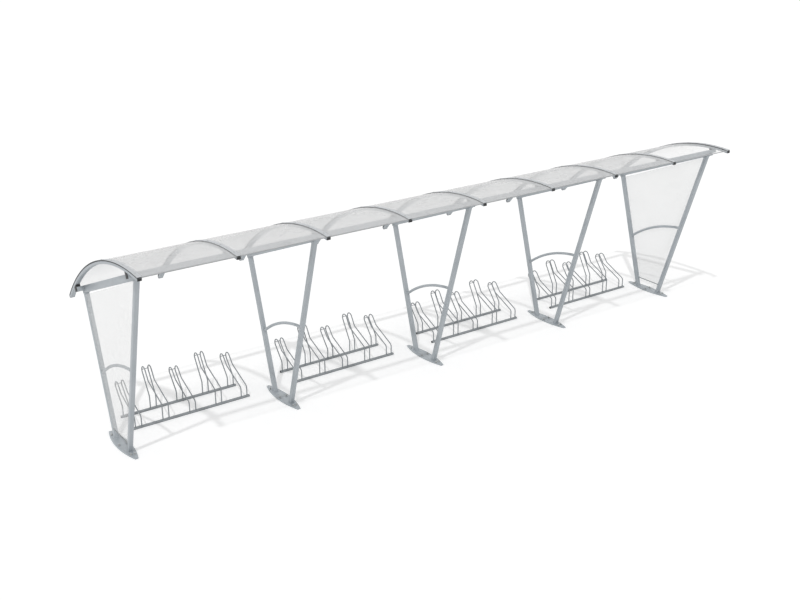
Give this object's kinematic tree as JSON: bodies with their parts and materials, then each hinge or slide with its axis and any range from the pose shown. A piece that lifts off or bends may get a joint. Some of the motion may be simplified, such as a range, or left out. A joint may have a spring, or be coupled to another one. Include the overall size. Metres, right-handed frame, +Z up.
{
  "type": "bike shelter",
  "caption": "Open-fronted bicycle shelter: V-shaped steel frames on lens-shaped base plates, a curved translucent roof, glazed ends and ground racks with bent wheel hoops.",
  "frame": {"origin": "centre of the underside of the middle base plate, at ground level", "axes": "+X along the shelter, to the right as seen from its open front; +Y from the open front to the rear, the way a bicycle is pushed in; +Z up"},
  "size_m": [8.452, 2.0588, 2.3531],
  "materials": {
    "frame_steel": "light blue-grey powder coat, satin",
    "rib_metal": "light grey powder coat, satin",
    "cover_metal": "mill finish, matt",
    "cap_plastic": "moulded, matt black",
    "end_cap_plastic": "moulded, grey",
    "gasket_rubber": "extruded, matt",
    "edge_rubber": "extruded, matt",
    "roof_glazing": "translucent pale grey sheet",
    "side_glazing": "clear sheet, slightly textured",
    "panel_rail_metal": "dark grey, satin",
    "rack_steel": "grey, satin"
  },
  "bodies": {
    "root": {"base_plate_1": "frame_steel", "base_plate_2": "frame_steel", "base_plate_3": "frame_steel", "base_plate_4": "frame_steel", "base_plate_5": "frame_steel", "front_posts": "frame_steel", "rear_posts": "frame_steel", "cross_beams": "frame_steel", "hip_rails": "frame_steel", "front_purlin": "frame_steel", "rear_purlin": "frame_steel", "purlin_caps": "cap_plastic", "rib_brackets": "cap_plastic", "roof_rib_1": "rib_metal", "roof_rib_2": "rib_metal", "roof_rib_3": "rib_metal", "roof_rib_4": "rib_metal", "roof_rib_5": "rib_metal", "roof_rib_6": "rib_metal", "roof_rib_7": "rib_metal", "roof_rib_8": "rib_metal", "roof_rib_9": "rib_metal", "rib_front_caps": "cap_plastic", "rib_rear_caps": "end_cap_plastic", "rib_gaskets": "gasket_rubber", "cover_strips": "cover_metal", "roof_sheet_1": "roof_glazing", "roof_sheet_2": "roof_glazing", "roof_sheet_3": "roof_glazing", "roof_sheet_4": "roof_glazing", "roof_sheet_5": "roof_glazing", "roof_sheet_6": "roof_glazing", "roof_sheet_7": "roof_glazing", "roof_sheet_8": "roof_glazing", "front_edge_trims": "edge_rubber", "rear_edge_trims": "edge_rubber", "side_panel_left": "side_glazing", "side_panel_right": "side_glazing", "panel_rails": "panel_rail_metal", "rack_rails": "rack_steel", "rack_ties": "rack_steel", "rack_hoops_1": "rack_steel", "rack_hoops_2": "rack_steel", "rack_hoops_3": "rack_steel", "rack_hoops_4": "rack_steel"}
  },
  "joints": []
}
